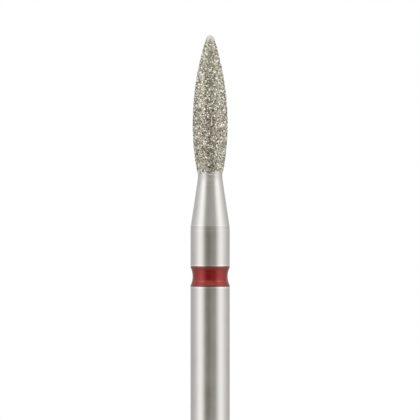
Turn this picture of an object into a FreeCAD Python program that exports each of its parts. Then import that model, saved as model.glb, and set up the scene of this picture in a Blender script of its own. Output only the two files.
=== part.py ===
import FreeCAD, Part
import math
import os
import random

# Flame-shaped diamond bur on a straight handpiece shank, in millimetres.
#
# The bur stands upright on the axis Z, with the middle of its shank's end face at the origin and
# its tip upwards. It has three pieces: a turned stainless steel blank, a ring of colour lacquer in
# the blank's groove, and the coat of nickel and diamond grit that is plated onto the blank's flame.

# Shank, from the end that goes into the chuck up to the colour band.
shank_diameter = 2.35
grip_length = 29.5
end_chamfer = 0.2

# Colour band: a groove lined with lacquer, which is flush at its rims and hollow between them.
band_width = 1.2
band_hollow_depth = 0.125
band_rim_width = 0.055
lacquer_thickness = 0.04

# Collar between the band and the neck, with a short shallow lead at its upper end.
collar_length = 2.4
lead_length = 0.25
shoulder_diameter = 2.32

# Neck: a cone that runs out tangent into the throat's hollow.
neck_length = 3.1
neck_diameter = 1.44
throat_hollow_radius = 2.3

# Flame, measured over the tips of the grit.
head_diameter = 2.1
head_length = 8.3
belly_height = 2.95
tip_radius = 0.27

# Coat: a nickel bond on the steel, and crystals that stand out of it. It thins towards the throat.
coat_thickness = 0.1  # steel to grit tips, at the belly and the tip
bond_thickness = 0.06  # steel to bond, there too
coat_edge_thickness = 0.025  # steel to grit tips, at the throat
bond_edge_thickness = 0.015  # steel to bond, at the throat
etch_depth = 0.01  # how far the turned flame is etched before it is plated
crystal_pitch = 0.175  # side of the three-cornered cells that hold one crystal each
grit_seed = 5

# Radii and heights that follow from the sizes above.
shank_radius = shank_diameter / 2
shoulder_radius = shoulder_diameter / 2
neck_radius = neck_diameter / 2
z_band_low = grip_length
z_band_high = z_band_low + band_width
z_lead = z_band_high + collar_length - lead_length
z_shoulder = z_band_high + collar_length
z_throat = z_shoulder + neck_length
z_belly = z_throat + belly_height
z_tip = z_throat + head_length

# Layout of the coat. Outside, the flame's outline is cut into fine steps, and a ring of net points
# stands on every fifth step, moved a little along and around the flame. Inside, its flats are even.
CORE_SIDES = 24
CORE_ROWS = 12
STEPS_PER_RING = 5
ALONG_JITTER = 1  # fine steps
EDGE_JITTER = 3  # fine steps, upwards only, which frays the coat's lower edge
AROUND_JITTER = 0.22  # of a cell's side
EQUILATERAL_HEIGHT = math.sqrt(3) / 2  # of a cell's side
LEAST_CELLS_AROUND = 5
LEAST_STAND = 0.35  # of a crystal's full stand over the bond
CORNER_PULL = (1, 2)  # range of the weights that move a crystal's point off the middle of its cell
SEWING_GAP = 1e-4


def point(radius, z):
    """A point of a half outline, which lies in the plane of X and Z."""
    return FreeCAD.Vector(radius, 0, z)


def arc(centre, radius, start, end):
    """Arc of a half outline between two angles, in radians from the direction of +X."""

    def at(angle):
        return centre + point(radius * math.cos(angle), radius * math.sin(angle))

    return Part.Arc(at(start), at((start + end) / 2), at(end)).toShape()


def lines(*points):
    """Straight edges from each point to the next."""
    return [Part.LineSegment(a, b).toShape() for a, b in zip(points, points[1:])]


def turned(edges):
    """Solid of revolution about Z from a closed half outline."""
    face = Part.Face(Part.Wire(edges))
    return face.revolve(FreeCAD.Vector(0, 0, 0), FreeCAD.Vector(0, 0, 1), 360)


def around(vector, turns):
    """The vector turned about Z by a share of a full turn."""
    return FreeCAD.Rotation(FreeCAD.Vector(0, 0, 1), 360 * turns).multVec(vector)


def flame_outline(base_radius, inset):
    """Half outline of a flame, from the throat to the tip on the axis.

    Two arcs meet upright at the belly, and the upper one runs tangent into the ball of the tip.
    inset is how far the outline lies inside the grit's tips at the belly and at the tip.
    """
    belly_radius = head_diameter / 2 - inset
    ball_radius = tip_radius - inset
    swell = belly_radius - base_radius
    lower_radius = (belly_height**2 + swell**2) / (2 * swell)
    base_angle = math.asin(belly_height / lower_radius)
    lower = arc(point(belly_radius - lower_radius, z_belly), lower_radius, -base_angle, 0)

    rise = z_tip - tip_radius - z_belly
    slimming = belly_radius - ball_radius
    upper_radius = (belly_radius**2 + rise**2 - ball_radius**2) / (2 * slimming)
    ball_angle = math.atan2(rise, upper_radius - belly_radius)
    upper = arc(point(belly_radius - upper_radius, z_belly), upper_radius, 0, ball_angle)
    ball = arc(point(0, z_belly + rise), ball_radius, ball_angle, math.pi / 2)
    return [lower, upper, ball]


def hollow_arc(rim_radius, rim_width):
    """Hollow of the colour band between its two rims, as deep on the lacquer as in the steel."""
    low_rim = point(rim_radius, z_band_low + rim_width)
    high_rim = point(rim_radius, z_band_high - rim_width)
    waist = point(rim_radius - band_hollow_depth, (z_band_low + z_band_high) / 2)
    return Part.Arc(low_rim, waist, high_rim).toShape()


def neck_outline():
    """The lead, the neck's cone and the throat's hollow, from the collar up to the flame."""
    reach = throat_hollow_radius - (shoulder_radius - neck_radius)
    slant = math.hypot(reach, neck_length)
    taper = math.atan2(neck_length, reach) - math.acos(throat_hollow_radius / slant)
    centre = point(neck_radius + throat_hollow_radius, z_throat)
    hollow = arc(centre, throat_hollow_radius, math.pi + taper, math.pi)
    collar_end = point(shank_radius, z_lead)
    shoulder = point(shoulder_radius, z_shoulder)
    return lines(collar_end, shoulder, hollow.Vertexes[0].Point) + [hollow]


def make_blank(coat):
    """The one turned piece: shank, groove, collar, neck and the flame's core inside the coat."""
    groove_rim = shank_radius - lacquer_thickness
    grip = lines(
        point(0, 0),
        point(shank_radius - end_chamfer, 0),
        point(shank_radius, end_chamfer),
        point(shank_radius, z_band_low),
        point(groove_rim, z_band_low),
    )
    collar = lines(
        point(groove_rim, z_band_high),
        point(shank_radius, z_band_high),
        point(shank_radius, z_lead),
    )
    groove = [hollow_arc(groove_rim, 0)]
    core = flame_outline(neck_radius, coat_thickness)
    axis = lines(point(0, z_tip - coat_thickness), point(0, 0))
    return turned(grip + groove + collar + neck_outline() + core + axis).cut(coat)


def make_band():
    """Ring of lacquer that lines the groove."""
    groove_rim = shank_radius - lacquer_thickness
    low_rim = lines(
        point(groove_rim, z_band_low),
        point(shank_radius, z_band_low),
        point(shank_radius, z_band_low + band_rim_width),
    )
    high_rim = lines(
        point(shank_radius, z_band_high - band_rim_width),
        point(shank_radius, z_band_high),
        point(groove_rim, z_band_high),
    )
    outside = low_rim + [hollow_arc(shank_radius, band_rim_width)] + high_rim
    return turned(outside + [hollow_arc(groove_rim, 0)])


def belt(lower, upper):
    """Triangles of the belt between two rings of net points, whose counts may differ."""
    triangles = []
    i = 0
    j = 0
    while i < len(lower) or j < len(upper):
        low = lower[i % len(lower)]
        high = upper[j % len(upper)]
        if (i + 1) * len(upper) <= (j + 1) * len(lower):
            i += 1
            triangles.append((low, lower[i % len(lower)], high))
        else:
            j += 1
            triangles.append((upper[j % len(upper)], high, low))
    return triangles


def fan(ring, middle):
    """Triangles from each side of a ring to one point."""
    ring = list(ring)
    return [(a, b, middle) for a, b in zip(ring, ring[1:] + ring[:1])]


def crystal_net(chance):
    """Net over the bond: its points, the ways from them out to the grit's tips, and its cells.

    The rings hold as many points as their girth has room for, so that the cells stay alike from
    the belly to the tip. Every other ring is turned by half a cell.
    """
    bond = Part.Wire(flame_outline(neck_radius + bond_edge_thickness, coat_thickness - bond_thickness))
    tips = Part.Wire(flame_outline(neck_radius + coat_edge_thickness, 0))
    ring_count = round(bond.Length / (crystal_pitch * EQUILATERAL_HEIGHT))
    bond_steps = bond.discretize(STEPS_PER_RING * ring_count + 1)
    tip_steps = tips.discretize(STEPS_PER_RING * ring_count + 1)

    points = []
    ways_out = []
    cells = []
    rings = []
    for number in range(ring_count):
        base_step = STEPS_PER_RING * number
        girth = 2 * math.pi * bond_steps[base_step].x
        count = max(LEAST_CELLS_AROUND, round(girth / crystal_pitch))
        jitter = (-ALONG_JITTER, ALONG_JITTER) if number else (0, EDGE_JITTER)
        rings.append(range(len(points), len(points) + count))
        for cell in range(count):
            step = base_step + chance.randint(*jitter)
            place = cell + number % 2 / 2 + chance.uniform(-AROUND_JITTER, AROUND_JITTER)
            points.append(around(bond_steps[step], place / count))
            ways_out.append(around(tip_steps[step] - bond_steps[step], place / count))
        if number:
            cells += belt(rings[-2], rings[-1])

    points.append(tip_steps[-1])
    ways_out.append(FreeCAD.Vector(0, 0, 0))
    cells += fan(rings[-1], len(points) - 1)
    return points, ways_out, cells, rings[0]


def make_coat():
    """Nickel bond and grit as one shell on the flame: each cell rises to one crystal's point."""
    chance = random.Random(grit_seed)
    points, ways_out, cells, edge_ring = crystal_net(chance)
    facets = []
    for corners in cells:
        stand = chance.uniform(LEAST_STAND, 1)
        pulls = [chance.uniform(*CORNER_PULL) for _ in corners]
        peak = FreeCAD.Vector(0, 0, 0)
        for pull, corner in zip(pulls, corners):
            peak += (points[corner] + ways_out[corner] * stand) * (pull / sum(pulls))
        facets += fan(corners, len(points))
        points.append(peak)

    # The inside runs up from the frayed lower edge to a point under the tip.
    core = Part.Wire(flame_outline(neck_radius, coat_thickness))
    *core_steps, core_tip = core.discretize(CORE_ROWS + 1)
    below = edge_ring
    for step in core_steps:
        ring = range(len(points), len(points) + CORE_SIDES)
        start = step - point(etch_depth, etch_depth)
        points += [around(start, side / CORE_SIDES) for side in range(CORE_SIDES)]
        facets += belt(ring, below)
        below = ring
    facets += fan(below[::-1], len(points))
    points.append(core_tip - point(0, etch_depth))

    shell = Part.Shape()
    shell.makeShapeFromMesh((points, facets), SEWING_GAP)
    return Part.Solid(shell)


coat = make_coat()
pieces = {
    "steel_blank": make_blank(coat),
    "colour_band": make_band(),
    "diamond_coat": coat,
}
os.makedirs("parts", exist_ok=True)
for name, shape in pieces.items():
    shape.exportStep(f"parts/{name}.step")
    print(name, len(shape.Solids), "solid,", len(shape.Faces), "faces,", round(shape.Volume, 4), "mm3")
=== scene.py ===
# %% [markdown]
# A diamond bur for a dental handpiece: one turned steel blank, a ring of red lacquer in its
# groove, and a flame-shaped head with diamond grit in nickel plating. This lesson dresses its CAD
# model. The CAD keeps the sizes, and Blender gives each surface its finish.
#
# We first load the CAD model as a fixed frame. All lengths below are written in millimetres, and are turned
# to metres when a mesh or a material needs them.

# %% Frame
import math
import bpy
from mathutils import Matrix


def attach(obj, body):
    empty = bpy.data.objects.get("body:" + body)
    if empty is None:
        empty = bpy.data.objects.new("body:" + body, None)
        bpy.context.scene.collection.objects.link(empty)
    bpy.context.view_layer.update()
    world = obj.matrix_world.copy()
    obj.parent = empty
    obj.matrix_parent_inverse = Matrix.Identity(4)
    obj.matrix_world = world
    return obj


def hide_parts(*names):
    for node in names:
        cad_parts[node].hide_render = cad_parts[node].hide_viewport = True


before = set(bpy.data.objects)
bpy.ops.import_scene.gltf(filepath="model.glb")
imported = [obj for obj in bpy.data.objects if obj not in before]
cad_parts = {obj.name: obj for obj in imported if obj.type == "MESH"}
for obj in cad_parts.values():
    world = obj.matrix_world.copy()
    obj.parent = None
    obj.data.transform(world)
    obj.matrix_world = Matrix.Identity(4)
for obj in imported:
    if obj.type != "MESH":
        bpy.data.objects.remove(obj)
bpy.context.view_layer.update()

MM = 0.001

# %% [markdown]
# The bur's sizes are those of its CAD source. The flame, which is the head with its coat of grit,
# starts at the throat, is widest at the belly and ends in the small ball of the tip. The coat's
# thickness is measured from the steel to the grit's tips, and the bond's to its own surface.

# %% Sizes of the bur
shank_radius = 1.175
shoulder_radius = 1.16
neck_radius = 0.72
belly_radius = 1.05
tip_radius = 0.27
throat_hollow_radius = 2.3
z_band_low = 29.5
z_band_high = 30.7
z_lead = 32.85
z_shoulder = 33.1
z_throat = 36.2
z_belly = 39.15
z_tip = 44.5
coat_thickness = 0.1
bond_thickness = 0.06
band_middle = (z_band_low + z_band_high) / 2
print("length", z_tip, "mm, head", round(z_tip - z_throat, 2), "mm, shank", 2 * shank_radius, "mm")

# %% [markdown]
# Two small helpers serve the whole lesson. One turns the hex codes that a picture editor shows
# into the linear light that nodes want. The other adds a node, gives it its settings and links it
# to what comes before it: a socket, or a node, which then stands for its first output.

# %% Helpers for colours and nodes
def linear(code):
    """Linear RGBA of an sRGB hex colour such as #C8C6C2."""
    shares = [int(code[start : start + 2], 16) / 255 for start in (1, 3, 5)]
    return [s / 12.92 if s <= 0.04045 else ((s + 0.055) / 1.055) ** 2.4 for s in shares] + [1]


def add(tree, kind, inputs=None, **settings):
    """A new node. Each input, by name or number, is given a value or linked."""
    node = tree.nodes.new(kind)
    for name, value in settings.items():
        setattr(node, name, value)
    for key, value in (inputs or {}).items():
        if isinstance(value, bpy.types.Node):
            value = value.outputs[0]
        if isinstance(value, bpy.types.NodeSocket):
            tree.links.new(value, node.inputs[key])
        else:
            node.inputs[key].default_value = value
    return node


print("white card:", [round(share, 3) for share in linear("#F0F0EE")])

# %% [markdown]
# The camera comes early, because every later choice is judged through it. The bur stands upright
# and is seen level from the side, from far enough away that its sides look parallel. The frame
# is 25 mm high at the bur, so the lens follows from that and the distance.

# %% Camera
frame_height = 25.06
camera_distance = 300.0
view_across = -0.007
view_up = 34.06
sensor_width = 36
camera = bpy.data.objects.new("camera", bpy.data.cameras.new("camera"))
bpy.context.collection.objects.link(camera)
camera.data.sensor_width = sensor_width
camera.data.lens = sensor_width * camera_distance / frame_height
camera.location = (view_across * MM, -camera_distance * MM, view_up * MM)
camera.rotation_euler = (math.pi / 2, 0, 0)
bpy.context.scene.camera = camera
print("lens", round(camera.data.lens, 1), "mm")

# %% [markdown]
# A product like this is lit in a light tent: white cloth all round, lit by a strip of light at
# either side, and an opening in front where the camera looks in. Polished metal shows all of it,
# and it is the dark opening between the two bright strips that makes a steel rod look round.
# Cards and lamps could build it, but their edges are hard to steer. Here it is a list of light
# levels in one turn round the bur, from straight behind it. At level one a white card looks white.

# %% Light levels of the tent
tent_levels = (
    (-180, 0.82), (-160, 0.69), (-140, 0.66), (-115, 0.72), (-96, 0.9), (-80, 1.22), (-66, 1.62),
    (-52, 1.5), (-40, 1.0), (-28, 0.35), (-16, 0.21), (-6, 0.185), (2, 0.235), (10, 0.42), (24, 0.34),
    (32, 0.44), (44, 1.0), (56, 1.44), (70, 1.6), (85, 1.26), (102, 0.95), (123, 0.74), (145, 0.6),
    (160, 0.62), (180, 0.82),
)  # degrees round the bur from the camera's side, and how bright the cloth is there
brightest = max(level for _, level in tent_levels)
light_above = 0.97
light_below = 0.2
print("tent of", len(tent_levels), "levels, the brightest", brightest)

# %% [markdown]
# The world is what every ray meets that misses the bur. Its direction is split into the three
# axes, the bearing round the bur follows from X and Y, and a colour ramp turns the bearing into a
# level. The opening looks out into a room with warm lamps, so its darkest levels lack a little
# blue and, less, green. A ramp holds no number above one, so the levels are stored as shares of
# the brightest.

# %% Tent round the bur
opening = 50
room_warmth = 0.22
green_share = 0.25
scene = bpy.context.scene
scene.view_settings.view_transform = "Standard"
world = bpy.data.worlds.new("tent")
world.use_nodes = True
scene.world = world
tent = world.node_tree
tent.nodes.clear()
direction = add(tent, "ShaderNodeTexCoord").outputs["Generated"]
axes = add(tent, "ShaderNodeSeparateXYZ", {0: direction}).outputs
front = add(tent, "ShaderNodeMath", {0: axes["Y"], 1: -1}, operation="MULTIPLY")
bearing = add(tent, "ShaderNodeMath", {0: axes["X"], 1: front}, operation="ARCTAN2")
turn = add(tent, "ShaderNodeMath", {0: bearing, 1: 1 / math.tau, 2: 0.5}, operation="MULTIPLY_ADD")
ramp = add(tent, "ShaderNodeValToRGB", {0: turn})
while len(ramp.color_ramp.elements) < len(tent_levels):
    ramp.color_ramp.elements.new(1)
for element, (degrees, level) in zip(ramp.color_ramp.elements, tent_levels):
    element.position = degrees / 360 + 0.5
    warmth = room_warmth * max(0, 1 - level) if abs(degrees) < opening else 0
    shade = level / brightest
    element.color = (shade, shade * (1 - green_share * warmth), shade * (1 - warmth), 1)
print("ramp of", len(ramp.color_ramp.elements), "stops, opening of", 2 * opening, "degrees")

# %% [markdown]
# Up the tent the cloth gets a little brighter, and above the opening it is bright all round. The
# very top is one even level and the floor of the tent a dim one. This decides how edges look that
# face up or down, such as the flanks of the colour band. Heights in the tent run from -1, straight
# down, to 1, straight up.

# %% Tent above and below
gain_upwards = 0.3
over_from = 0.3
over_full = 0.52
ceiling = (0.5, 0.85)
ground = (-0.5, -0.8)
gain_terms = {0: axes["Z"], 1: gain_upwards * brightest, 2: brightest}
gain = add(tent, "ShaderNodeMath", gain_terms, operation="MULTIPLY_ADD")
cloth = add(tent, "ShaderNodeVectorMath", {0: ramp, "Scale": gain}, operation="SCALE")
over = add(
    tent,
    "ShaderNodeMapRange",
    {"Value": axes["Z"], "From Min": over_from, "From Max": over_full, "To Max": light_above},
    interpolation_type="SMOOTHSTEP",
)
cloth = add(tent, "ShaderNodeVectorMath", {0: cloth, 1: over}, operation="MAXIMUM").outputs[0]
for level, (start, end) in ((light_above, ceiling), (light_below, ground)):
    reached = add(
        tent,
        "ShaderNodeMapRange",
        {"Value": axes["Z"], "From Min": start, "From Max": end},
        interpolation_type="SMOOTHSTEP",
    )
    plain = (level, level, level, 1)
    cloth = add(tent, "ShaderNodeMix", {0: reached, 6: cloth, 7: plain}, data_type="RGBA").outputs[2]
print("ceiling", light_above, "and ground", light_below)

# %% [markdown]
# Past the bur the picture is plain white. More light on the bur would wash it out, so only the
# background is made white: the camera sees it, and so do metal and glass where they mirror what
# lies straight behind, within a few degrees.

# %% White behind the bur
mirrored_white = (16, 10)  # degrees off straight behind, where it starts and where it is full
cloth_light = add(tent, "ShaderNodeBackground", {"Color": cloth, "Strength": 1})
plain_white = add(tent, "ShaderNodeBackground", {"Color": (1, 1, 1, 1), "Strength": 1})
rays = add(tent, "ShaderNodeLightPath").outputs
mirrored = add(
    tent, "ShaderNodeMath", {0: rays["Is Glossy Ray"], 1: rays["Is Transmission Ray"]}, operation="MAXIMUM"
)
start, full = (math.cos(math.radians(degrees)) for degrees in mirrored_white)
behind = add(tent, "ShaderNodeMapRange", {"Value": axes["Y"], "From Min": start, "From Max": full})
mirrored = add(tent, "ShaderNodeMath", {0: mirrored, 1: behind}, operation="MULTIPLY")
seen = add(tent, "ShaderNodeMath", {0: rays["Is Camera Ray"], 1: mirrored}, operation="MAXIMUM")
tent_mix = add(tent, "ShaderNodeMixShader", {0: seen, 1: cloth_light, 2: plain_white})
add(tent, "ShaderNodeOutputWorld", {"Surface": tent_mix})
print("tent with", len(tent.nodes), "nodes")

# %% [markdown]
# One soft lamp hangs above, a little in front, so that the bur has a shadow to stand in. A lamp's
# brightness to the eye is its power over its area, so its power follows from both.

# %% Lamp above
lamp_width = 300
lamp_brightness = 0.5
lamp_place = (-80, -160, 420)
lamp_tilt = 23
lamp_turn = -25
lamp = bpy.data.objects.new("lamp_above", bpy.data.lights.new("lamp_above", "AREA"))
bpy.context.collection.objects.link(lamp)
lamp.data.size = lamp_width * MM
lamp.data.energy = lamp_brightness * math.pi * (lamp_width * MM) ** 2
lamp.location = [length * MM for length in lamp_place]
lamp.rotation_euler = (math.radians(lamp_tilt), 0, math.radians(lamp_turn))
lamp.visible_camera = False
print("lamp of", round(lamp.data.energy, 3), "W")

# %% [markdown]
# The floor is a pale round card that the bur stands on, nearly twice as wide as the bur is long.
# It stays below the camera's view. Its edge would show from above, so it fades out towards its rim.

# %% Floor
def new_material(name):
    """Empty material and its node tree."""
    material = bpy.data.materials.new(name)
    material.use_nodes = True
    material.node_tree.nodes.clear()
    return material, material.node_tree


floor_radius = 42 * MM
floor_corners = 64
floor_fade = {"From Min": 0.45 * floor_radius, "From Max": 0.95 * floor_radius}
angles = [math.tau * i / floor_corners for i in range(floor_corners)]
rim = [(floor_radius * math.cos(angle), floor_radius * math.sin(angle), 0) for angle in angles]
floor_mesh = bpy.data.meshes.new("floor")
floor_mesh.from_pydata(rim, [], [list(range(floor_corners))])
floor = bpy.data.objects.new("floor", floor_mesh)
bpy.context.collection.objects.link(floor)

card, tree = new_material("white_card")
spot = add(tree, "ShaderNodeTexCoord").outputs["Object"]
away = add(tree, "ShaderNodeVectorMath", {0: spot}, operation="LENGTH").outputs["Value"]
fade = add(tree, "ShaderNodeMapRange", {"Value": away} | floor_fade, interpolation_type="SMOOTHSTEP")
matt = add(tree, "ShaderNodeBsdfDiffuse", {"Color": linear("#F0F0EE")})
clear = add(tree, "ShaderNodeBsdfTransparent")
card_mix = add(tree, "ShaderNodeMixShader", {0: fade, 1: matt, 2: clear})
add(tree, "ShaderNodeOutputMaterial", {"Surface": card_mix})
floor_mesh.materials.append(card)
print("floor of radius", floor_radius, "m")

# %% [markdown]
# All of the bur's metal was made on a lathe, so it is drawn as a lathe works: a half outline that
# is swept round the axis. Its corners are broken by small fillets, as no turned edge is perfectly
# sharp, and the bright line that each fillet catches makes such an edge look real. A bevel modifier
# could do that too, but here each edge has its own measure, as on the real bur.

# %% Arcs and broken corners
FLAT_POINT = 1.6  # of a fillet's reach, for the points that keep the flats beside it flat


def arc(radius_at, height_at, radius, start, end, steps):
    """Points along an arc, from one angle to another in radians, 0 being outwards."""
    angles = [start + (end - start) * i / steps for i in range(steps + 1)]
    return [(radius_at + radius * math.cos(a), height_at + radius * math.sin(a)) for a in angles]


def broken(corner, before, after, fillet, steps=5):
    """Points of a fillet at a corner, with one more on each side that keeps the flats flat."""
    ways = []
    for end in (before, after):
        way = (end[0] - corner[0], end[1] - corner[1])
        length = math.hypot(*way)
        ways.append((way[0] / length, way[1] / length))
    (ax, az), (bx, bz) = ways
    half = math.acos(max(-1, min(1, ax * bx + az * bz))) / 2
    reach = fillet / math.tan(half)
    points = [(corner[0] + ax * reach * FLAT_POINT, corner[1] + az * reach * FLAT_POINT)]
    for i in range(steps + 1):
        share = i / steps
        near = (1 - share) ** 2
        far = share**2
        points.append(
            (corner[0] + reach * (ax * near + bx * far), corner[1] + reach * (az * near + bz * far))
        )
    points.append((corner[0] + bx * reach * FLAT_POINT, corner[1] + bz * reach * FLAT_POINT))
    return points


print("a broken corner has", len(broken((1, 1), (0, 1), (1, 0), 0.05)), "points")

# %% [markdown]
# The flame is two arcs and a ball. The arcs meet upright at the belly, and the upper one runs
# tangent into the ball of the tip, so that no edge shows on the head. Core, bond and the seat of
# the grit all take this outline, each with its own inset.

# %% Outline of the flame
def flame(base_radius, inset, steps=(26, 44, 14)):
    """Half outline of the head from throat to tip, with its inset from the tips of the grit."""
    belly = belly_radius - inset
    ball = tip_radius - inset
    swell = belly - base_radius
    drop = z_belly - z_throat
    lower = (drop**2 + swell**2) / (2 * swell)
    rise = z_tip - tip_radius - z_belly
    upper = (belly**2 + rise**2 - ball**2) / (2 * (belly - ball))
    meeting = math.atan2(rise, upper - belly)
    points = arc(belly - lower, z_belly, lower, -math.asin(drop / lower), 0, steps[0])
    points += arc(belly - upper, z_belly, upper, 0, meeting, steps[1])[1:]
    points += arc(0, z_belly + rise, ball, meeting, math.pi / 2, steps[2])[1:-1]
    return points + [(0, z_belly + rise + ball)]


print("flame outline of", len(flame(neck_radius, coat_thickness)), "points")

# %% [markdown]
# The lathe itself is a small Geometry Nodes tree, which turns any outline. Blender's Screw
# modifier could sweep it as well, but a tree shows each step. It starts with a grid: a row for
# each point of the outline, and a column for each step of the lathe, plus one that closes it.

# %% Lathe, rows and columns
def new_tree(name, inputs):
    """Geometry Nodes tree with an input for each name and kind, and the sockets that bring them."""
    tree = bpy.data.node_groups.new(name, "GeometryNodeTree")
    for label, kind in inputs:
        tree.interface.new_socket(label, in_out="INPUT", socket_type="NodeSocket" + kind)
    tree.interface.new_socket("Geometry", in_out="OUTPUT", socket_type="NodeSocketGeometry")
    return tree, add(tree, "NodeGroupInput").outputs


lathe, given = new_tree(
    "lathe",
    (("Outline", "Geometry"), ("Sides", "Int"), ("Metres per unit", "Float"), ("Material", "Material")),
)
domain = add(lathe, "GeometryNodeAttributeDomainSize", {0: given["Outline"]}, component="MESH")
rows = domain.outputs["Point Count"]
columns = add(lathe, "ShaderNodeMath", {0: given["Sides"], 1: 1}, operation="ADD")
grid = add(lathe, "GeometryNodeMeshGrid", {"Vertices X": columns, "Vertices Y": rows})
print("lathe inputs:", [socket.name for socket in given if socket.name])

# %% [markdown]
# Each grid point finds its row and column from its index. It takes the outline's position for its
# row, and is turned about the axis by its column. Merging closes the seam and the ends.

# %% Lathe, sweep and close
weld = 1e-5
index = add(lathe, "GeometryNodeInputIndex")
row = add(lathe, "ShaderNodeMath", {0: index, 1: rows}, operation="MODULO")
column = add(lathe, "ShaderNodeMath", {0: index, 1: rows}, operation="DIVIDE")
column = add(lathe, "ShaderNodeMath", {0: column}, operation="FLOOR")
turns = add(lathe, "ShaderNodeMath", {0: column, 1: given["Sides"]}, operation="DIVIDE")
angle = add(lathe, "ShaderNodeMath", {0: turns, 1: math.tau}, operation="MULTIPLY")
place = add(lathe, "GeometryNodeInputPosition")
outline_point = add(
    lathe,
    "GeometryNodeSampleIndex",
    {"Geometry": given["Outline"], "Value": place, "Index": row},
    data_type="FLOAT_VECTOR",
    domain="POINT",
)
swept = add(
    lathe, "ShaderNodeVectorRotate", {"Vector": outline_point, "Angle": angle}, rotation_type="Z_AXIS"
)
shaped = add(lathe, "GeometryNodeSetPosition", {0: grid, "Position": swept})
closed = add(lathe, "GeometryNodeMergeByDistance", {0: shaped, "Distance": weld})
scaled = add(lathe, "GeometryNodeTransform", {0: closed, "Scale": given["Metres per unit"]})
real = add(lathe, "GeometryNodeRealizeInstances", {0: scaled})
finished = add(lathe, "GeometryNodeSetMaterial", {0: real, "Material": given["Material"]})
add(lathe, "NodeGroupOutput", {0: finished})
print("lathe tree with", len(lathe.nodes), "nodes")

# %% [markdown]
# A tree works on an object as a modifier. Once it is done we keep only the result, a plain mesh,
# so that nothing has to be worked out again and other programs can read the piece.

# %% From a tree to a plain piece
def made_by(tree, name, source, values):
    """Piece whose mesh is what a node tree makes of a source mesh, with values for its inputs."""
    maker = bpy.data.objects.new(name + "_maker", source)
    bpy.context.collection.objects.link(maker)
    modifier = maker.modifiers.new("nodes", "NODES")
    modifier.node_group = tree
    for socket in tree.interface.items_tree:
        if socket.in_out == "INPUT" and socket.name in values:
            modifier[socket.identifier] = values[socket.name]
    graph = bpy.context.evaluated_depsgraph_get()
    mesh = bpy.data.meshes.new_from_object(
        maker.evaluated_get(graph), preserve_all_data_layers=True, depsgraph=graph
    )
    maker.modifiers.remove(modifier)
    bpy.data.objects.remove(maker)
    mesh.name = name
    piece = bpy.data.objects.new(name, mesh)
    bpy.context.collection.objects.link(piece)
    return piece


print("trees so far:", [tree.name for tree in bpy.data.node_groups])

# %% [markdown]
# A turned piece is the lathe's work on one outline. Its volume is measured: a positive one says
# that its faces point outwards, and a piece with a negative one has its faces flipped.

# %% Turned pieces
def volume(mesh):
    """Signed volume of a closed mesh in cubic millimetres."""
    mesh.calc_loop_triangles()
    total = 0
    for triangle in mesh.loop_triangles:
        a, b, c = (mesh.vertices[i].co / MM for i in triangle.vertices)
        total += a.dot(b.cross(c)) / 6
    return total


def turned(name, outline, material, sides=128):
    """Piece that is turned from a half outline, with smooth faces that point outwards."""
    source = bpy.data.meshes.new(name + "_outline")
    points = [(radius, 0, height) for radius, height in outline]
    source.from_pydata(points, [(i, i + 1) for i in range(len(points) - 1)], [])
    values = {"Sides": sides, "Metres per unit": MM, "Material": material}
    piece = made_by(lathe, name, source, values)
    if volume(piece.data) < 0:
        piece.data.flip_normals()
    piece.data.shade_smooth()
    triangles = len(piece.data.loop_triangles)
    print(name, triangles, "triangles,", round(volume(piece.data), 3), "mm3")
    return piece


# %% [markdown]
# The blank is stainless steel, with a ground shank and a turned neck. The stone's cut varies a little, which
# leaves faint blotches that are longer along the rod than across it. A narrow pinkish-white rim on each side
# of the band is a painted highlight, where the groove's broken edges catch the light and the red. Both are
# tones of the metal's colour, which sets how much of the tent it gives back.

# %% Ground stainless steel, tones
blotches_per_mm = (1.5, 1.5, 0.9)
rim_glint_fade = (0.61, 0.76)  # from the band's middle
steel, tree = new_material("ground_stainless_steel")
spot = add(tree, "ShaderNodeTexCoord").outputs["Object"]
height = add(tree, "ShaderNodeSeparateXYZ", {0: spot}).outputs["Z"]
blotch_spot = add(
    tree, "ShaderNodeMapping", {"Vector": spot, "Scale": [count / MM for count in blotches_per_mm]}
)
blotches = add(tree, "ShaderNodeTexNoise", {"Vector": blotch_spot, "Scale": 1, "Detail": 3})
tone = add(
    tree, "ShaderNodeMix", {0: blotches, 6: linear("#C6C4C0"), 7: linear("#D2D0CC")}, data_type="RGBA"
).outputs[2]
off_band = add(tree, "ShaderNodeMath", {0: height, 1: band_middle * MM}, operation="SUBTRACT")
off_band = add(tree, "ShaderNodeMath", {0: off_band}, operation="ABSOLUTE")
# painted highlight: a pinkish-white line just outside each edge of the band
painted_rim_glint = add(
    tree,
    "ShaderNodeMapRange",
    {"Value": off_band, "From Min": rim_glint_fade[0] * MM, "From Max": rim_glint_fade[1] * MM, "To Min": 1, "To Max": 0},
    interpolation_type="SMOOTHSTEP",
)
tone = add(tree, "ShaderNodeMix", {0: painted_rim_glint, 6: tone, 7: linear("#EADAD6")}, data_type="RGBA").outputs[2]
print(steel.name, "with", len(tree.nodes), "nodes so far")
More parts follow.
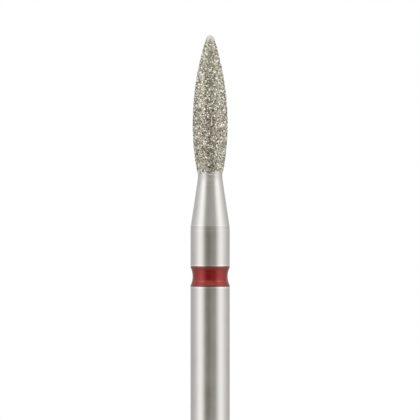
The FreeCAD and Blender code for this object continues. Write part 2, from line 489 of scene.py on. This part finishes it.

# %% [markdown]
# The short lead between collar and neck was cut with another tool, which leaves it a little darker than the
# neck. The bright line at either end of it is a painted highlight of its edges. The neck is painted a shade
# lighter than the collar and the shank below, as painted light where its taper faces the light above. A
# colour ramp over the height holds these tones, each at its place above the lead's start.

# %% Ground stainless steel, the lead
neck_tone = 0.9
# painted highlights at the lead's two edges, and painted light that makes the neck lighter than the collar
lead_and_edge_glint_tones = (
    (-0.05, 0.855), (-0.015, 0.9), (0.015, 0.9), (0.05, 0.82), (0.24, 0.82), (0.26, 0.95), (0.3, 0.95),
    (0.34, neck_tone),
)
lead_margin = 0.1
span = z_shoulder - z_lead + 2 * lead_margin
along_lead = add(
    tree,
    "ShaderNodeMapRange",
    {"Value": height, "From Min": (z_lead - lead_margin) * MM, "From Max": (z_shoulder + lead_margin) * MM},
)
cut = add(tree, "ShaderNodeValToRGB", {0: along_lead})
while len(cut.color_ramp.elements) < len(lead_and_edge_glint_tones):
    cut.color_ramp.elements.new(1)
for element, (above_lead, level) in zip(cut.color_ramp.elements, lead_and_edge_glint_tones):
    element.position = (above_lead + lead_margin) / span
    element.color = (level, level, level, 1)
evened = add(tree, "ShaderNodeMath", {0: cut, 1: neck_tone}, operation="DIVIDE")
tone = add(tree, "ShaderNodeVectorMath", {0: tone, "Scale": evened}, operation="SCALE")
print("lead with", len(lead_and_edge_glint_tones), "tones over", round(span, 2), "mm")

# %% [markdown]
# Grinding and turning leave very fine rings round the rod. Seen across the rings, a reflection is
# smeared up and down, and along them it stays in clear stripes: that is anisotropy, and a radial
# tangent tells the shader which way the rings run. The rings are far finer than the picture can
# show, so they are drawn a few hundredths of a millimetre apart. Near the throat the plating's etch
# has left the steel duller.

# %% Ground stainless steel, rings
rings_per_mm = (1.2, 1.2, 22)
ring_depth = 0.001
etched_from = z_throat - 0.5
etched_full = z_throat - 0.2
etched_roughness = 0.14
satin_range = {"From Min": 0.3, "From Max": 0.7, "To Min": 0.3, "To Max": 0.36}
satin = add(tree, "ShaderNodeMapRange", {"Value": blotches} | satin_range)
etched = add(
    tree,
    "ShaderNodeMapRange",
    {"Value": height, "From Min": etched_from * MM, "From Max": etched_full * MM, "To Max": etched_roughness},
)
satin = add(tree, "ShaderNodeMath", {0: satin, 1: etched}, operation="ADD")
ring_spot = add(
    tree, "ShaderNodeMapping", {"Vector": spot, "Scale": [count / MM for count in rings_per_mm]}
)
rings = add(tree, "ShaderNodeTexNoise", {"Vector": ring_spot, "Scale": 1, "Detail": 2})
relief = add(tree, "ShaderNodeBump", {"Height": rings, "Strength": 0.5, "Distance": ring_depth * MM})
round_the_rod = add(tree, "ShaderNodeTangent", direction_type="RADIAL", axis="Z")
shader = add(
    tree,
    "ShaderNodeBsdfPrincipled",
    {
        "Base Color": tone,
        "Metallic": 1.0,
        "Roughness": satin,
        "Normal": relief,
        "Anisotropic": 0.7,
        "Anisotropic Rotation": 0.25,
        "Tangent": round_the_rod,
    },
)
add(tree, "ShaderNodeOutputMaterial", {"Surface": shader})
print(steel.name, "with", len(tree.nodes), "nodes")

# %% [markdown]
# Two forms in the steel have a function of their own. The groove of the colour band is a shallow
# hollow, which the lacquer follows as well. A tool mark is the fine line that a turning tool leaves
# where it stops.

# %% Hollow and tool marks
lacquer_thickness = 0.04
band_rim_width = 0.055
band_hollow_depth = 0.125
mark_section = ((-0.8, 0), (-0.5, 0), (-0.25, 0.7), (0, 1), (0.25, 0.7), (0.5, 0), (0.8, 0))


def band_hollow(rim_radius, rim_width, steps=20):
    """Hollow of the colour band between its two rims, from the lower one up."""
    chord = (z_band_high - z_band_low) / 2 - rim_width
    radius = (chord**2 + band_hollow_depth**2) / (2 * band_hollow_depth)
    spread = math.asin(chord / radius)
    centre = rim_radius - band_hollow_depth + radius
    return arc(centre, band_middle, radius, math.pi + spread, math.pi - spread, steps)


def tool_mark(radius, height_at, depth, width):
    """A shallow groove in a surface whose radius depends on the height."""
    return [
        (radius(height_at + across * width) - down * depth, height_at + across * width)
        for across, down in mark_section
    ]


groove_rim = shank_radius - lacquer_thickness
waist = min(radius for radius, _ in band_hollow(groove_rim, 0))
print("groove", round(waist, 4), "mm in radius at its waist")

# %% [markdown]
# The neck is a cone that runs out tangent into the throat's hollow, so its taper follows from
# where the hollow lies. The lead below it is a very flat cone, from the shank's radius to the
# shoulder's.

# %% Neck
reach = throat_hollow_radius - (shoulder_radius - neck_radius)
neck_length = z_throat - z_shoulder
slant = math.hypot(reach, neck_length)
taper = math.atan2(neck_length, reach) - math.acos(throat_hollow_radius / slant)
throat_centre = neck_radius + throat_hollow_radius
hollow = arc(throat_centre, z_throat, throat_hollow_radius, math.pi + taper, math.pi, 14)
cone_end = hollow[0]


def cone_radius(height_at):
    """Radius of the neck's cone at a height."""
    share = (height_at - z_shoulder) / (cone_end[1] - z_shoulder)
    return shoulder_radius + share * (cone_end[0] - shoulder_radius)


def lead_radius(height_at):
    """Radius of the collar and the lead at a height."""
    slope = (shank_radius - shoulder_radius) / (z_shoulder - z_lead)
    return min(shank_radius, shank_radius - slope * (height_at - z_lead))


print("taper", round(math.degrees(taper), 2), "degrees, cone up to", round(cone_end[1], 3), "mm")

# %% [markdown]
# The blank's half outline goes from the shank's end up to the core inside the head: a broken
# corner at the end, the ground shank, the groove for the colour, the collar, the short lead, and
# the neck's cone and hollow. Two tool marks are cut into it, where the lead begins and near the
# end of the cone. A few points along the shank keep its long faces from shading as one.

# %% Steel blank
end_chamfer = 0.2
face_point = 0.5
groove_fillet = 0.024
chamfer = (shank_radius - end_chamfer, 0)
chamfer_top = (shank_radius, end_chamfer)
band_foot = (shank_radius, z_band_low)
band_head = (shank_radius, z_band_high)
lead = (shank_radius, z_lead)
shoulder = (shoulder_radius, z_shoulder)
outline = [(0, 0), (face_point, 0)]
outline += broken(chamfer, (0, 0), chamfer_top, 0.03)
outline += broken(chamfer_top, chamfer, band_foot, 0.06)
outline += [(shank_radius, height_at) for height_at in (5, 10, 15, 20, 25)]
outline += broken(band_foot, (shank_radius, 0), (groove_rim, z_band_low), groove_fillet)
outline += band_hollow(groove_rim, 0)
outline += broken(band_head, (groove_rim, z_band_high), lead, groove_fillet)
outline += [(shank_radius, 31.5), (shank_radius, 32.4)]
outline += tool_mark(lead_radius, z_lead + 0.04, depth=0.004, width=0.13)
outline += broken(shoulder, lead, cone_end, 0.04)
outline += tool_mark(cone_radius, 35.62, depth=0.0025, width=0.1)
outline += hollow
outline += flame(neck_radius, coat_thickness, (12, 20, 8))[1:]
steel_blank = turned("turned_steel_blank", outline, steel)

# %% [markdown]
# The colour that marks how coarse the grit is was painted into the groove and baked. Lacquer that is put on
# by brush is never quite even. It lies thickest in the middle of the hollow, in a deep crimson, and thins to
# a brick red on the flanks. Along its two lips it is painted a darker brown, as painted shade, wider at the
# upper lip, which faces down. A slow noise gives the red its clouds, and the distance from a line a little
# below the middle sets its tone.

# %% Baked red lacquer, tones
clouds_per_mm = 2.6
# the tones are measured from a line a little below the middle, so the painted lip shade is wider at the upper
# lip
shade_line_drop = 0.045
flank = (0.08, 0.26, "#94180C")  # from, full at, and its colour, off the middle
# painted shade: the darker brown along the two lips
lips = (0.4, 0.57, "#74423A")
lacquer, tree = new_material("baked_red_lacquer")
spot = add(tree, "ShaderNodeTexCoord").outputs["Object"]
height = add(tree, "ShaderNodeSeparateXYZ", {0: spot}).outputs["Z"]
clouds = add(tree, "ShaderNodeTexNoise", {"Vector": spot, "Scale": clouds_per_mm / MM, "Detail": 3})
red = add(
    tree, "ShaderNodeMix", {0: clouds, 6: linear("#860812"), 7: linear("#A00C14")}, data_type="RGBA"
).outputs[2]
off_middle = add(tree, "ShaderNodeMath", {0: height, 1: (band_middle - shade_line_drop) * MM}, operation="SUBTRACT")
off_middle = add(tree, "ShaderNodeMath", {0: off_middle}, operation="ABSOLUTE")
for start, full, code in (flank, lips):
    reached = add(
        tree,
        "ShaderNodeMapRange",
        {"Value": off_middle, "From Min": start * MM, "From Max": full * MM},
        interpolation_type="SMOOTHSTEP",
    )
    red = add(tree, "ShaderNodeMix", {0: reached, 6: red, 7: linear(code)}, data_type="RGBA").outputs[2]
print(lacquer.name, "with", len(tree.nodes), "nodes so far")

# %% [markdown]
# A fine lighter line low in the band is a painted highlight, where the gloss of the lower flank catches the
# light from above. It comes and goes round the ring, so a noise breaks it up.

# %% Baked red lacquer, painted highlight
# painted highlight: a lighter line low in the band, on the lower flank's gloss
z_lacquer_highlight = 29.82
lacquer_highlight_fade = {"From Min": 0.015 * MM, "From Max": 0.045 * MM}
lacquer_highlight_weight = 0.5
patches_per_mm = 3.4
patch_range = {"From Min": 0.42, "From Max": 0.68, "To Min": 0.12, "To Max": 1}
off_lacquer_highlight = add(tree, "ShaderNodeMath", {0: height, 1: z_lacquer_highlight * MM}, operation="SUBTRACT")
off_lacquer_highlight = add(tree, "ShaderNodeMath", {0: off_lacquer_highlight}, operation="ABSOLUTE")
on_lacquer_highlight = add(
    tree, "ShaderNodeMapRange", {"Value": off_lacquer_highlight, "To Min": lacquer_highlight_weight, "To Max": 0} | lacquer_highlight_fade
)
patches = add(tree, "ShaderNodeTexNoise", {"Vector": spot, "Scale": patches_per_mm / MM, "Detail": 1})
patches = add(tree, "ShaderNodeMapRange", {"Value": patches} | patch_range)
on_lacquer_highlight = add(tree, "ShaderNodeMath", {0: on_lacquer_highlight, 1: patches}, operation="MULTIPLY")
red = add(
    tree, "ShaderNodeMix", {0: on_lacquer_highlight, 6: red, 7: linear("#C46A4C")}, data_type="RGBA"
).outputs[2]
print("brush stroke at", z_lacquer_highlight, "mm,", round(z_lacquer_highlight - z_band_low, 2), "mm above the band's foot")

# %% [markdown]
# The lacquer is a transparent red on bright metal, so light passes it twice and comes back deep
# red, with a clear gloss on top. Layers of real glass are slow to render and are lost in an export.
# Half metal in the red gives the same depth: dark where the steel below looks into the dark, and
# glowing where it looks into the light. The gloss is a coat over it, a little wavy.

# %% Baked red lacquer, gloss
waves_per_mm = 5
wave_depth = 0.008
waves = add(tree, "ShaderNodeTexNoise", {"Vector": spot, "Scale": waves_per_mm / MM, "Detail": 1})
relief = add(tree, "ShaderNodeBump", {"Height": waves, "Strength": 0.6, "Distance": wave_depth * MM})
shader = add(
    tree,
    "ShaderNodeBsdfPrincipled",
    {
        "Base Color": red,
        "Metallic": 0.5,
        "Roughness": 0.3,
        "Specular IOR Level": 0.0,
        "Specular Tint": linear("#3A1A14"),
        "Normal": relief,
        "Coat Weight": 0.88,
        "Coat Roughness": 0.1,
        "Coat Normal": relief,
    },
)
add(tree, "ShaderNodeOutputMaterial", {"Surface": shader})
print(lacquer.name, "with", len(tree.nodes), "nodes")

# %% [markdown]
# The ring of lacquer is flush with the shank at its two rims and sinks to a hollow between them.
# Surface tension rounds its lips, and they creep a little over the broken corners of the groove.
# Its back follows the steel of the groove, so that the ring is one closed solid.

# %% Lacquer ring
skin = shank_radius - 0.0006
rim_skin = skin - 0.0015
lip = 0.012
lip_turn = 1.35
creep = 0.022
back = 0.01
outline = [(groove_rim, z_band_low), (groove_rim + back, z_band_low + 0.001)]
outline += arc(skin - lip, z_band_low - creep + lip, lip, -lip_turn, 0, 5)
outline += [(rim_skin, z_band_low + band_rim_width)]
outline += band_hollow(skin, band_rim_width + 0.008, 24)
outline += [(rim_skin, z_band_high - band_rim_width)]
outline += arc(skin - lip, z_band_high + creep - lip, lip, 0, lip_turn, 5)
outline += [(groove_rim + back, z_band_high - 0.001)]
outline += band_hollow(groove_rim, 0)[::-1]
lacquer_ring = turned("red_lacquer_ring", outline, lacquer)

# %% [markdown]
# A brush leaves the lips wavy. A turned ring can't have that, so the wave is added afterwards,
# point by point, from a noise that follows the ring round: a slow wave with a finer one on it. Only
# points near a lip move, and those on the groove's steel stay where they are.

# %% Waves in the lips
from mathutils import Vector, noise

lip_reach = 0.05
wave_height = 0.024
for vertex in lacquer_ring.data.vertices:
    x, y, z = vertex.co / MM
    side = 1 if z > band_middle else -1
    rim = z_band_high if side > 0 else z_band_low
    near = max(0, 1 - abs(z - rim) / lip_reach)
    if math.hypot(x, y) > groove_rim + back / 2 and near:
        wander = noise.noise(Vector((x * 1.7, y * 1.7, side * 9)))
        wander += 0.5 * noise.noise(Vector((x * 6, y * 6, side * 5)))
        vertex.co.z += side * near * wave_height * wander * MM
reach_out = max(math.hypot(vertex.co.x, vertex.co.y) for vertex in lacquer_ring.data.vertices)
print("lacquer reaches radius", round(reach_out / MM, 4), "mm")

# %% [markdown]
# Under and between the crystals lies nickel, plated from a bath while the grit is held against the steel. It
# is a warm, slightly yellowish metal with a matt, finely pimpled face. It shows as the darker ground between
# the crystals, and as a smooth skin on the tip, where grit is sparse. The tip's skin is painted paler, as
# painted light where the ball faces the light above.
# The pimples are drawn about as fine as the picture can show.

# %% Electroplated nickel
clouds_per_mm = 2.5
pimples_per_mm = 22
pimple_height = 0.012
lit_tip_span = {"From Min": (z_tip - 0.45) * MM, "From Max": (z_tip - 0.1) * MM}
nickel, tree = new_material("electroplated_nickel")
spot = add(tree, "ShaderNodeTexCoord").outputs["Object"]
height = add(tree, "ShaderNodeSeparateXYZ", {0: spot}).outputs["Z"]
clouds = add(tree, "ShaderNodeTexNoise", {"Vector": spot, "Scale": clouds_per_mm / MM, "Detail": 2})
tone = add(
    tree, "ShaderNodeMix", {0: clouds, 6: linear("#A39D8F"), 7: linear("#BDB8AC")}, data_type="RGBA"
).outputs[2]
# painted light: the tip's skin is made paler, where the ball faces the light above
on_lit_tip = add(tree, "ShaderNodeMapRange", {"Value": height} | lit_tip_span, interpolation_type="SMOOTHSTEP")
tone = add(tree, "ShaderNodeMix", {0: on_lit_tip, 6: tone, 7: linear("#D0D0CA")}, data_type="RGBA").outputs[2]
pimples = add(tree, "ShaderNodeTexNoise", {"Vector": spot, "Scale": pimples_per_mm / MM, "Detail": 2})
relief = add(tree, "ShaderNodeBump", {"Height": pimples, "Strength": 0.8, "Distance": pimple_height * MM})
shader = add(
    tree,
    "ShaderNodeBsdfPrincipled",
    {"Base Color": tone, "Metallic": 1.0, "Roughness": 0.42, "Normal": relief},
)
add(tree, "ShaderNodeOutputMaterial", {"Surface": shader})
print(nickel.name, "with", len(tree.nodes), "nodes")

# %% [markdown]
# The bond follows the flame a little inside the tips of the grit, so it takes the flame's outline
# with its own inset. A closing step under its lower edge is hidden in the steel.

# %% Nickel bond
bond_base = neck_radius + 0.008
bond_inset = coat_thickness - bond_thickness
z_hidden = z_throat - 0.06
outline = [(0, z_hidden), (neck_radius - 0.05, z_hidden)]
outline += flame(bond_base, bond_inset)
nickel_bond = turned("nickel_bond", outline, nickel)

# %% [markdown]
# Its lower edge isn't a clean line, because the plating creeps up and down the masking: the lowest
# points are raised by a noise, more in some places than in others. At the very tip current crowds
# and the nickel grows thicker, so a small crown is added there.

# %% Creeping edge and crown
edge_reach = 0.35
edge_lift = 0.14
crown_reach = 0.5
crown_rise = 0.026
crown_swell = 0.06
for vertex in nickel_bond.data.vertices:
    x, y, z = vertex.co / MM
    low = max(0, 1 - (z - z_throat) / edge_reach)
    if math.hypot(x, y) > neck_radius - 0.1 and z > z_throat - 0.01:
        lift = 0.75 + 0.6 * noise.noise(Vector((x * 3.1, y * 3.1, 4)))
        lift += 0.4 * noise.noise(Vector((x * 9, y * 9, 2)))
        vertex.co.z += edge_lift * low * max(0, lift) * MM
    crown = max(0, (z - z_tip + crown_reach) / crown_reach)
    vertex.co.z += crown_rise * crown * MM
    vertex.co.x *= 1 + crown_swell * crown
    vertex.co.y *= 1 + crown_swell * crown
tallest = max(vertex.co.z for vertex in nickel_bond.data.vertices)
print("bond up to", round(tallest / MM, 3), "mm")

# %% [markdown]
# Diamond grit is crushed and sieved: blocky, sharp-edged splinters of yellowish grey diamond, some
# nearly clear and some dark with inclusions. Diamond bends light very strongly, so each flat
# face gives a bright glint. A clear shader would be slow and show nothing more at this size,
# where a crystal covers one or two pixels: what the eye gets is a fine salt and pepper. So each
# crystal carries a random tint number, which a ramp of five tones turns into a colour, and half
# metal gives its faces their mirror. The soft coat over it is the thin film that plating leaves.

# %% Crushed diamond grit
shades = ((0.0, "#302B1A"), (0.13, "#6F6649"), (0.36, "#A39A7D"), (0.62, "#D8CFB7"), (0.8, "#FFFFF4"))
diamond, tree = new_material("crushed_diamond_grit")
tint = add(tree, "ShaderNodeAttribute", attribute_name="tint").outputs["Fac"]
ramp = add(tree, "ShaderNodeValToRGB", {0: tint})
ramp.color_ramp.interpolation = "CONSTANT"
while len(ramp.color_ramp.elements) < len(shades):
    ramp.color_ramp.elements.new(0.5)
for element, (start, code) in zip(ramp.color_ramp.elements, shades):
    element.position = start
    element.color = linear(code)
shader = add(
    tree,
    "ShaderNodeBsdfPrincipled",
    {
        "Base Color": ramp,
        "Metallic": 0.5,
        "Roughness": 0.09,
        "IOR": 2.417,
        "Coat Weight": 0.6,
        "Coat Roughness": 0.4,
    },
)
add(tree, "ShaderNodeOutputMaterial", {"Surface": shader})
print(diamond.name, "with", len(shades), "tones")

# %% [markdown]
# The grit is thousands of crystals on one surface, which is what Geometry Nodes do best. A bump
# would lose the ragged outline that makes a bur look rough. The tree works in millimetres, because
# its distances are too small for metres. It scatters points on a seat in the shape of the flame,
# with a least distance between them, as grit packs in the bath.

# %% Grit tree, scatter
most_per_mm2 = 400.0
sizes = (
    "Spacing", "Smallest", "Largest", "Stand", "Tilt", "Wetting", "Raggedness", "Drift", "Edge low",
    "Edge high", "Edge wave", "Edge seed", "Tip low", "Tip high", "Top",
)
inputs = [("Seat", "Geometry"), ("Seed", "Int"), ("Material", "Material")]
grit, given = new_tree("grit", inputs + [(name, "Float") for name in sizes])
seat = add(grit, "GeometryNodeTransform", {0: given["Seat"], "Scale": (1 / MM, 1 / MM, 1 / MM)})
scatter = add(
    grit,
    "GeometryNodeDistributePointsOnFaces",
    {0: seat, "Distance Min": given["Spacing"], "Density Max": most_per_mm2, "Seed": given["Seed"]},
    distribute_method="POISSON",
)
place = add(grit, "GeometryNodeInputPosition")
up = add(grit, "ShaderNodeSeparateXYZ", {0: place}).outputs["Z"]
print("grit tree with", len(grit.interface.items_tree), "sockets")

# %% [markdown]
# The coat's lower edge is frayed. A clean cut would look like paint, so each point draws a number,
# and it stays only where the cover is above it, which rises from nothing to full across the edge.
# A slow noise pulls tongues of grit down where the masking leaked. The tip is bare in the same
# way, because grit slides off a point that stands upright in the bath.

# %% Grit tree, frayed edge and bare tip
tongue_noise = (0.52, 0.74)
wave = add(
    grit, "ShaderNodeTexNoise", {"W": given["Edge seed"], "Scale": 2.2, "Detail": 0}, noise_dimensions="4D"
)
tongue = add(
    grit,
    "ShaderNodeMapRange",
    {"Value": wave, "From Min": tongue_noise[0], "From Max": tongue_noise[1], "To Max": given["Edge wave"]},
)
wavy_up = add(grit, "ShaderNodeMath", {0: tongue, 1: up}, operation="ADD")
covers = []
for level, part, first in ((wavy_up, "Edge", 0), (up, "Tip", 1)):
    low, high = (given[part + end] for end in (" low", " high"))
    limits = {"From Min": low, "From Max": high, "To Min": first, "To Max": 1 - first}
    covers.append(add(grit, "ShaderNodeMapRange", {"Value": level} | limits))
chance = add(
    grit, "FunctionNodeRandomValue", {"Min": 0.02, "Max": 1.0, "Seed": given["Seed"]}, data_type="FLOAT"
).outputs["Value"]
missed = [add(grit, "ShaderNodeMath", {0: cover, 1: chance}, operation="LESS_THAN") for cover in covers]
bare = add(grit, "ShaderNodeMath", {0: missed[0], 1: missed[1]}, operation="MAXIMUM")
kept = add(grit, "GeometryNodeDeleteGeometry", {0: scatter.outputs["Points"], "Selection": bare})
print("edge and tip,", len(grit.nodes), "nodes")

# %% [markdown]
# Sieved grit isn't of one size, so each crystal draws its own between two meshes of the sieve. It
# is smaller towards the tip, where a large one would fall off. It sits deep in the nickel, so that
# little more than its upper corners stand out, and deeper still at the throat, where the coat thins.

# %% Grit tree, size and seat
tip_reach = 0.9
throat_reach = 1.2
least_at_tip = 0.5
shares = {}
for name, start, reach, first, last in (
    ("tip", z_tip - tip_reach, tip_reach, 1, least_at_tip),
    ("throat", z_throat, throat_reach, 0.95, 1),
    ("stand", z_throat, throat_reach, 0.6, 1),
    ("depth", z_throat, throat_reach, -0.66, -0.62),
):
    limits = {"From Min": start, "From Max": start + reach, "To Min": first, "To Max": last}
    shares[name] = add(grit, "ShaderNodeMapRange", {"Value": up} | limits)
sieve = {"Min": given["Smallest"], "Max": given["Largest"], "Seed": 11}
size = add(grit, "FunctionNodeRandomValue", sieve, data_type="FLOAT").outputs[1]
share = add(grit, "ShaderNodeMath", {0: shares["tip"], 1: shares["throat"]}, operation="MULTIPLY")
size = add(grit, "ShaderNodeMath", {0: size, 1: share}, operation="MULTIPLY")
stand = add(grit, "ShaderNodeMath", {0: given["Stand"], 1: shares["stand"]}, operation="MULTIPLY")
stand = add(grit, "ShaderNodeMath", {0: stand, 1: shares["tip"]}, operation="MULTIPLY")
rise = add(grit, "ShaderNodeMath", {0: size, 1: shares["depth"], 2: stand}, operation="MULTIPLY_ADD")
outward = add(
    grit, "ShaderNodeVectorMath", {0: scatter.outputs["Normal"], "Scale": rise}, operation="SCALE"
)
sunk = add(grit, "GeometryNodeSetPosition", {0: kept, "Offset": outward})
print("size and seat,", len(grit.nodes), "nodes")

# %% [markdown]
# Every crystal starts as a cube, which has only twelve triangles, so thousands stay light. It is
# stretched a little along each axis, spun freely about the way out of the flame, and tilted a
# little off it, as a blocky stone settles.

# %% Grit tree, crystals
stretch = add(
    grit, "FunctionNodeRandomValue", {0: (0.75,) * 3, 1: (1.25,) * 3, "Seed": 12}, data_type="FLOAT_VECTOR"
)
stretch = add(grit, "ShaderNodeVectorMath", {0: stretch, "Scale": size}, operation="SCALE")
tilt = given["Tilt"]
back_tilt = add(grit, "ShaderNodeMath", {0: tilt, 1: -1}, operation="MULTIPLY")
lowest = add(grit, "ShaderNodeCombineXYZ", {"X": back_tilt, "Y": back_tilt, "Z": 0.0})
highest = add(grit, "ShaderNodeCombineXYZ", {"X": tilt, "Y": tilt, "Z": math.tau})
spin = add(grit, "FunctionNodeRandomValue", {0: lowest, 1: highest, "Seed": 13}, data_type="FLOAT_VECTOR")
spin = add(grit, "FunctionNodeEulerToRotation", {0: spin})
spin = add(
    grit,
    "FunctionNodeRotateRotation",
    {"Rotation": scatter.outputs["Rotation"], "Rotate By": spin},
    rotation_space="LOCAL",
)
cube = add(grit, "GeometryNodeMeshCube", {"Size": (1, 1, 1)})
crystals = add(
    grit, "GeometryNodeInstanceOnPoints", {0: sunk, "Instance": cube, "Rotation": spin, "Scale": stretch}
)
print("crystals,", len(grit.nodes), "nodes")

# %% [markdown]
# The tint is one random number for each crystal, stored before the cubes are made real, so that a
# whole crystal has one tone. Its range reaches past the ramp's ends, which makes the darkest and
# the lightest tones more common. A slow noise drifts it, as bright and dark grit gather in patches.

# %% Grit tree, tint
darkest = -0.15
lightest = 0.85
patch_scale = 2.2
tint = add(
    grit, "FunctionNodeRandomValue", {"Min": darkest, "Max": lightest, "Seed": 14}, data_type="FLOAT"
).outputs[1]
patch = add(grit, "ShaderNodeTexNoise", {"Scale": patch_scale, "Detail": 1})
tint = add(grit, "ShaderNodeMath", {0: patch, 1: given["Drift"], 2: tint}, operation="MULTIPLY_ADD")
stored = {0: crystals, "Name": "tint", "Value": tint}
tinted = add(grit, "GeometryNodeStoreNamedAttribute", stored, data_type="FLOAT", domain="INSTANCE")
print("tints from", darkest, "to", lightest)

# %% [markdown]
# Once the cubes are real, each of their corners is knocked a little to one side, so that no two
# crystals are alike and none looks like a cube. Nothing may stand past the tip's height, because
# the size is the CAD's, so corners above it are pressed down to it.

# %% Grit tree, ragged corners
real = add(grit, "GeometryNodeRealizeInstances", {0: tinted})
knock = given["Raggedness"]
back_knock = add(grit, "ShaderNodeMath", {0: knock, 1: -1}, operation="MULTIPLY")
offset = add(grit, "FunctionNodeRandomValue", {0: back_knock, 1: knock, "Seed": 15}, data_type="FLOAT_VECTOR")
knocked = add(grit, "GeometryNodeSetPosition", {0: real, "Offset": offset})
corner = add(grit, "ShaderNodeSeparateXYZ", {0: place}).outputs
capped = add(grit, "ShaderNodeMath", {0: corner["Z"], 1: given["Top"]}, operation="MINIMUM")
capped = add(grit, "ShaderNodeCombineXYZ", {"X": corner["X"], "Y": corner["Y"], "Z": capped})
levelled = add(grit, "GeometryNodeSetPosition", {0: knocked, "Position": capped})
facets = add(grit, "GeometryNodeTriangulate", {0: levelled})
print("ragged corners,", len(grit.nodes), "nodes")

# %% [markdown]
# Nickel wets a crystal and climbs its sides, which softens the step from stone to metal. So each
# face shades as if it leaned towards the flame's own surface: its normal is blended with the
# flame's, and stored as a custom one. Then the tree goes back to metres and names its material.

# %% Grit tree, plated faces
facets = add(grit, "GeometryNodeSetShadeSmooth", {0: facets, "Shade Smooth": True})
facing = add(grit, "GeometryNodeInputNormal").outputs["True Normal"]
flame_facing = add(
    grit, "ShaderNodeVectorMath", {0: scatter.outputs["Normal"], "Scale": given["Wetting"]}, operation="SCALE"
)
wetted = add(grit, "ShaderNodeVectorMath", {0: facing, 1: flame_facing}, operation="ADD")
wetted = add(grit, "ShaderNodeVectorMath", {0: wetted}, operation="NORMALIZE")
plated = add(grit, "GeometryNodeSetMeshNormal", {0: facets}, mode="FREE", domain="CORNER")
grit.links.new(wetted.outputs[0], plated.inputs["Custom Normal"])
metres = add(grit, "GeometryNodeTransform", {0: plated, "Scale": (MM, MM, MM)})
real = add(grit, "GeometryNodeRealizeInstances", {0: metres})
finished = add(grit, "GeometryNodeSetMaterial", {0: real, "Material": given["Material"]})
add(grit, "NodeGroupOutput", {0: finished})
print("grit tree with", len(grit.nodes), "nodes in all")

# %% [markdown]
# The crystals sit on the bond, and a few were caught by the plating on the bare neck below it. So
# the seat for the scatter is the bond's outline with a short piece of the neck under it. It is
# only a helper, and goes once the grit is made. The crystals are some 0.04 to 0.1 mm across.

# %% Diamond grit
neck_share = 0.07  # of a radian down the throat's hollow
seat_outline = arc(throat_centre, z_throat, throat_hollow_radius, math.pi + neck_share, math.pi, 4)
seat_outline += flame(bond_base, bond_inset)[1:]
seat = turned("grit_seat", seat_outline, diamond)
values = {
    "Spacing": 0.061,
    "Smallest": 0.044,
    "Largest": 0.1,
    "Stand": 0.024,
    "Tilt": 0.6,
    "Wetting": 1.25,
    "Raggedness": 0.016,
    "Drift": 0.3,
    "Edge low": z_throat + 0.02,
    "Edge high": z_throat + 0.2,
    "Edge wave": 0.26,
    "Edge seed": 140.0,
    "Tip low": z_tip - 0.42,
    "Tip high": z_tip - 0.22,
    "Top": z_tip,
    "Seed": 3,
    "Material": diamond,
}
diamond_grit = made_by(grit, "diamond_grit", seat.data, values)
bpy.data.objects.remove(seat)
diamond_grit.data.calc_loop_triangles()
crystal_count = len(diamond_grit.data.vertices) // 8
print("grit of", crystal_count, "crystals,", len(diamond_grit.data.loop_triangles), "triangles")

# %% [markdown]
# Last, each piece is tied to the CAD: it rides on the bur's one body, and takes the place of the CAD node
# that it dresses, which is hidden.

# %% Ties to the CAD
for piece, node, slot in (
    (steel_blank, "steel_blank", "steel"),
    (lacquer_ring, "colour_band", "lacquer"),
    (nickel_bond, "diamond_coat", "grit"),
    (diamond_grit, "diamond_coat", "grit"),
):
    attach(piece, "root")
    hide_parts(node)
